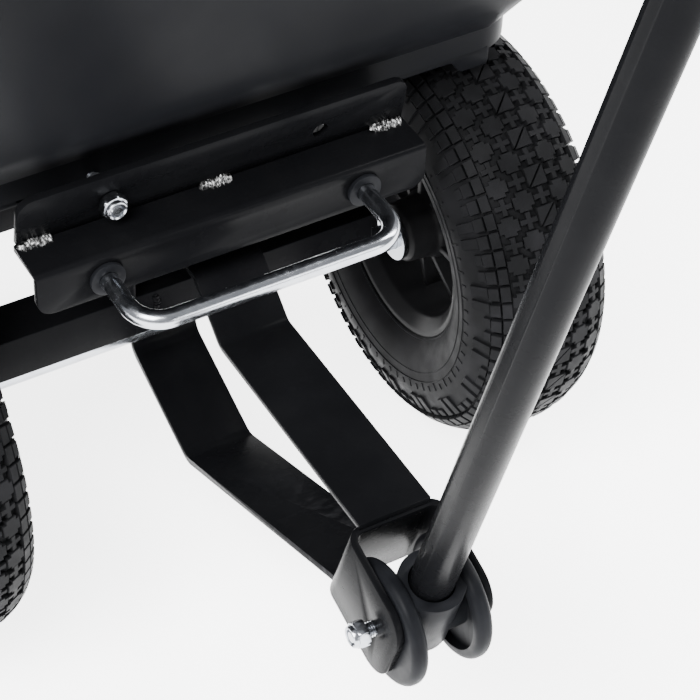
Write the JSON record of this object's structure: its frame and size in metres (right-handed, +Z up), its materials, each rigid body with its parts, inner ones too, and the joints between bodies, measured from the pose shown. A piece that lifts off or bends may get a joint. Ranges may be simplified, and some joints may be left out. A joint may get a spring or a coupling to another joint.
{
  "type": "tipping garden hand cart",
  "caption": "Tipping garden hand cart: black plastic tub on a steel chassis, pull-latch release bracket, steered front axle with folding drawbar, pneumatic wheels.",
  "frame": {"origin": "on the ground, under the middle of the whole cart's box with the drawbar standing as stored", "axes": "+Z up, -Y towards the front with the drawbar, X across the cart"},
  "size_m": [0.512, 1.1626, 0.8846],
  "materials": {
    "tub_plastic": "satin",
    "black_steel": "gloss",
    "zinc_plate": "satin",
    "moulded_plastic": "matte",
    "grip_rubber": "matte",
    "tyre_rubber": "matte",
    "rim_plastic": "satin",
    "bush_plastic": "matte"
  },
  "bodies": {
    "chassis": {"chassis_rails": "black_steel", "front_cross_member": "black_steel", "latch_catch_plates": "black_steel", "cross_members": "black_steel", "rail_end_caps": "moulded_plastic", "steering_spacers": "black_steel", "steering_upper_plate": "black_steel", "steering_wear_disc": "moulded_plastic", "kingpin": "zinc_plate", "kingpin_nut": "zinc_plate", "rear_axle_beam": "black_steel", "rear_axle_uprights": "black_steel", "rear_axle_braces": "black_steel", "rear_axle": "zinc_plate", "rear_axle_washers": "zinc_plate", "rear_axle_cotters": "zinc_plate", "tub_hinge_lugs": "black_steel", "tub_hinge_rod": "zinc_plate"},
    "front_axle": {"steering_lower_plate": "black_steel", "steering_uprights": "black_steel", "steering_stop_stud": "black_steel", "front_axle_beam": "black_steel", "front_axle": "zinc_plate", "front_axle_washers": "zinc_plate", "front_axle_cotters": "zinc_plate", "upper_draw_strap": "black_steel", "lower_draw_strap": "black_steel", "drawbar_clevis": "black_steel", "pivot_bolt": "zinc_plate", "pivot_nut": "zinc_plate"},
    "drawbar": {"drawbar_hub": "moulded_plastic", "drawbar_lower_tube": "black_steel", "drawbar_upper_tube": "black_steel", "drawbar_screws": "zinc_plate", "hand_loop": "black_steel", "hand_grip": "grip_rubber"},
    "tub": {"tub": "tub_plastic", "tub_hinge_brackets": "black_steel", "tub_hinge_screws": "zinc_plate", "latch_lower_angle": "black_steel", "latch_upper_plate": "black_steel", "latch_bolt": "zinc_plate", "latch_nut": "zinc_plate", "latch_springs": "zinc_plate", "handle_bushes": "moulded_plastic"},
    "release_handle": {"release_handle": "zinc_plate", "handle_washers": "zinc_plate", "handle_pins": "zinc_plate"},
    "wheel_front_left": {"tyre_front_left": "tyre_rubber", "rim_front_left": "rim_plastic", "bushes_front_left": "bush_plastic"},
    "wheel_front_right": {"tyre_front_right": "tyre_rubber", "rim_front_right": "rim_plastic", "bushes_front_right": "bush_plastic"},
    "wheel_rear_left": {"tyre_rear_left": "tyre_rubber", "rim_rear_left": "rim_plastic", "bushes_rear_left": "bush_plastic"},
    "wheel_rear_right": {"tyre_rear_right": "tyre_rubber", "rim_rear_right": "rim_plastic", "bushes_rear_right": "bush_plastic"}
  },
  "joints": [
    {"name": "steering", "type": "hinge", "parent": "chassis", "child": "front_axle", "pos_m": [0, -0.11072, 0.218], "axis": [0, 0, 1], "range_deg": [-30, 30]},
    {"name": "drawbar_tilt", "type": "hinge", "parent": "front_axle", "child": "drawbar", "pos_m": [0, -0.37472, 0.152], "axis": [-1, 0, 0], "range_deg": [-84, 15]},
    {"name": "tub_tip", "type": "hinge", "parent": "chassis", "child": "tub", "pos_m": [0, 0.45928, 0.25], "axis": [-1, 0, 0], "range_deg": [0, 75]},
    {"name": "latch_pull", "type": "slide", "parent": "tub", "child": "release_handle", "axis": [0, -1, 0], "range_m": [-0.015, 0]},
    {"name": "wheel_front_left_spin", "type": "hinge", "parent": "front_axle", "child": "wheel_front_left", "pos_m": [-0.175, -0.11072, 0.128], "axis": [1, 0, 0], "continuous": true},
    {"name": "wheel_front_right_spin", "type": "hinge", "parent": "front_axle", "child": "wheel_front_right", "pos_m": [0.175, -0.11072, 0.128], "axis": [1, 0, 0], "continuous": true},
    {"name": "wheel_rear_left_spin", "type": "hinge", "parent": "chassis", "child": "wheel_rear_left", "pos_m": [-0.175, 0.37428, 0.128], "axis": [1, 0, 0], "continuous": true},
    {"name": "wheel_rear_right_spin", "type": "hinge", "parent": "chassis", "child": "wheel_rear_right", "pos_m": [0.175, 0.37428, 0.128], "axis": [1, 0, 0], "continuous": true}
  ]
}
